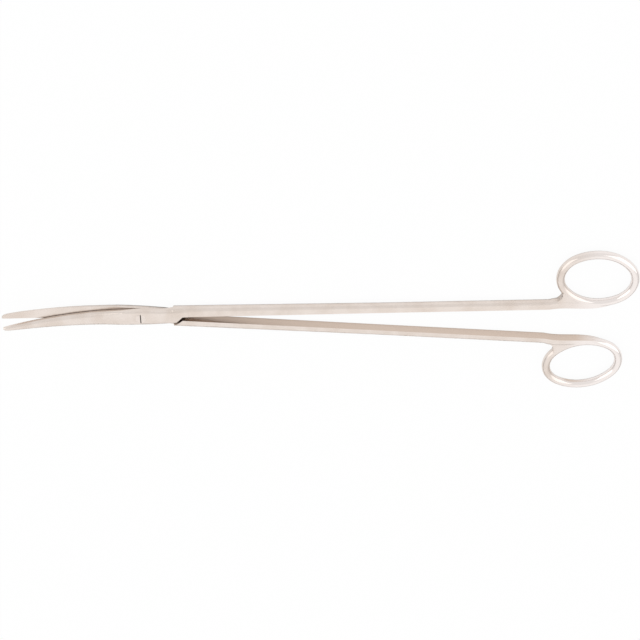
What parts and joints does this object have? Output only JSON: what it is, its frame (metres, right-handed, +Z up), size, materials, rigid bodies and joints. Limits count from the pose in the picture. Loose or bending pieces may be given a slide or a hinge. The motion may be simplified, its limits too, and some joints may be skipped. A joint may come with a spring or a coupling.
{
  "type": "dissecting scissors",
  "caption": "Long slender dissecting scissors: blades curved on the flat, lap joint held by a flush slotted screw, thin shanks, tilted oval finger rings.",
  "frame": {"origin": "on the pivot axis, in the plane that the joint rests on", "axes": "+X from the pivot to the finger rings, +Y towards the front half's ring, +Z up out of the front half's outer face, the way the blade tips curve"},
  "size_m": [0.2774, 0.0806, 0.0103],
  "materials": {
    "forged_steel": "satin, polished on the rounded edges and the rings",
    "screw_steel": "satin, ground flush with the joint"
  },
  "bodies": {
    "front": {"front_half": "forged_steel"},
    "rear": {"rear_half": "forged_steel", "pivot_screw": "screw_steel"}
  },
  "joints": [
    {"name": "pivot", "type": "hinge", "parent": "front", "child": "rear", "pos_m": [0, 0, 0.0028], "axis": [0, 0, 1], "range_deg": [-84.6, 5.4]}
  ]
}
